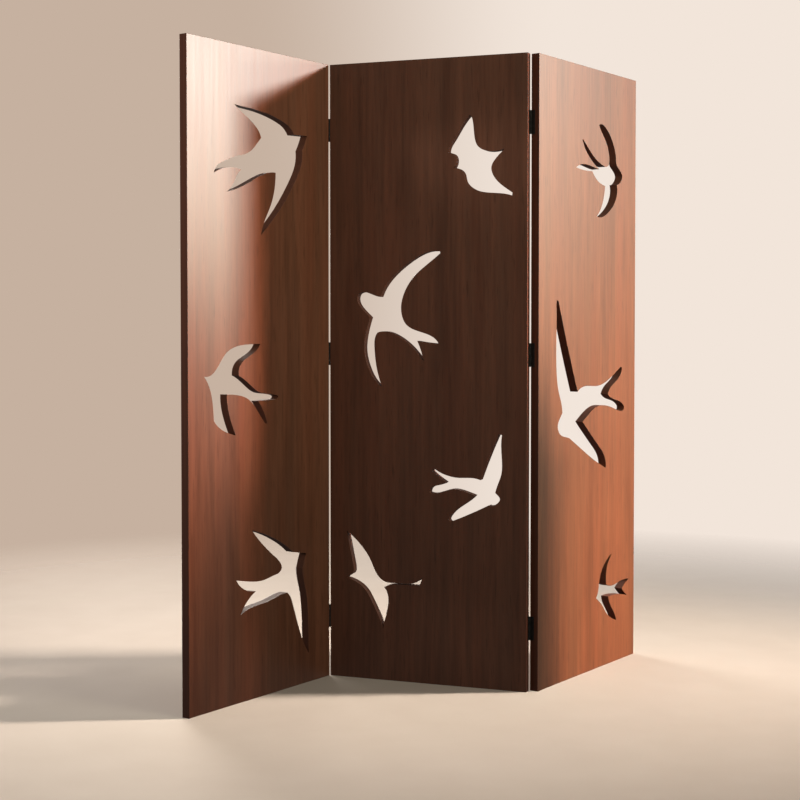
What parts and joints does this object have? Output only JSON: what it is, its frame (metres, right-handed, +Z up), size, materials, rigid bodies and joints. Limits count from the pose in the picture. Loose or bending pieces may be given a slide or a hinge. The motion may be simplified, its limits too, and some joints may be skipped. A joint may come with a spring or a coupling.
{
  "type": "folding screen",
  "caption": "Free-standing folding room divider: tall walnut-veneered boards with swallow-shaped cut-outs, joined edge to edge by black butt hinges so that they stand in a zig-zag.",
  "frame": {"origin": "on the floor, under the middle of the centre panel", "axes": "+X along the centre panel, to the right seen from the front; +Y from the front face to the back; +Z up"},
  "size_m": [0.9654, 1.189, 1.8],
  "materials": {
    "walnut_veneer": "satin lacquered walnut veneer with upright grain",
    "edge_band": "dark satin lacquered edge banding",
    "core_board": "dark stained sawn board",
    "black_steel": "satin black"
  },
  "bodies": {
    "left_panel": {"left_panel_core": "core_board", "left_panel_front_veneer": "walnut_veneer", "left_panel_back_veneer": "walnut_veneer", "left_panel_top_band": "edge_band", "left_panel_bottom_band": "edge_band", "left_panel_left_band": "edge_band", "left_panel_right_band": "edge_band", "left_hinge_low_side_leaf": "black_steel", "left_hinge_mid_side_leaf": "black_steel", "left_hinge_high_side_leaf": "black_steel", "left_panel_screws": "black_steel"},
    "centre_panel": {"centre_panel_core": "core_board", "centre_panel_front_veneer": "walnut_veneer", "centre_panel_back_veneer": "walnut_veneer", "centre_panel_top_band": "edge_band", "centre_panel_bottom_band": "edge_band", "centre_panel_left_band": "edge_band", "centre_panel_right_band": "edge_band", "left_hinge_low_centre_leaf": "black_steel", "left_hinge_low_pin": "black_steel", "left_hinge_mid_centre_leaf": "black_steel", "left_hinge_mid_pin": "black_steel", "left_hinge_high_centre_leaf": "black_steel", "left_hinge_high_pin": "black_steel", "right_hinge_low_centre_leaf": "black_steel", "right_hinge_low_pin": "black_steel", "right_hinge_mid_centre_leaf": "black_steel", "right_hinge_mid_pin": "black_steel", "right_hinge_high_centre_leaf": "black_steel", "right_hinge_high_pin": "black_steel", "centre_panel_left_screws": "black_steel", "centre_panel_right_screws": "black_steel"},
    "right_panel": {"right_panel_core": "core_board", "right_panel_front_veneer": "walnut_veneer", "right_panel_back_veneer": "walnut_veneer", "right_panel_top_band": "edge_band", "right_panel_bottom_band": "edge_band", "right_panel_left_band": "edge_band", "right_panel_right_band": "edge_band", "right_hinge_low_side_leaf": "black_steel", "right_hinge_mid_side_leaf": "black_steel", "right_hinge_high_side_leaf": "black_steel", "right_panel_screws": "black_steel"}
  },
  "joints": [
    {"name": "left_fold", "type": "hinge", "parent": "centre_panel", "child": "left_panel", "pos_m": [-0.30225, -0.013, 0.9], "axis": [0, 0, 1], "range_deg": [-75, 105]},
    {"name": "right_fold", "type": "hinge", "parent": "centre_panel", "child": "right_panel", "pos_m": [0.30225, 0.013, 0.9], "axis": [0, 0, 1], "range_deg": [-75, 105]}
  ]
}
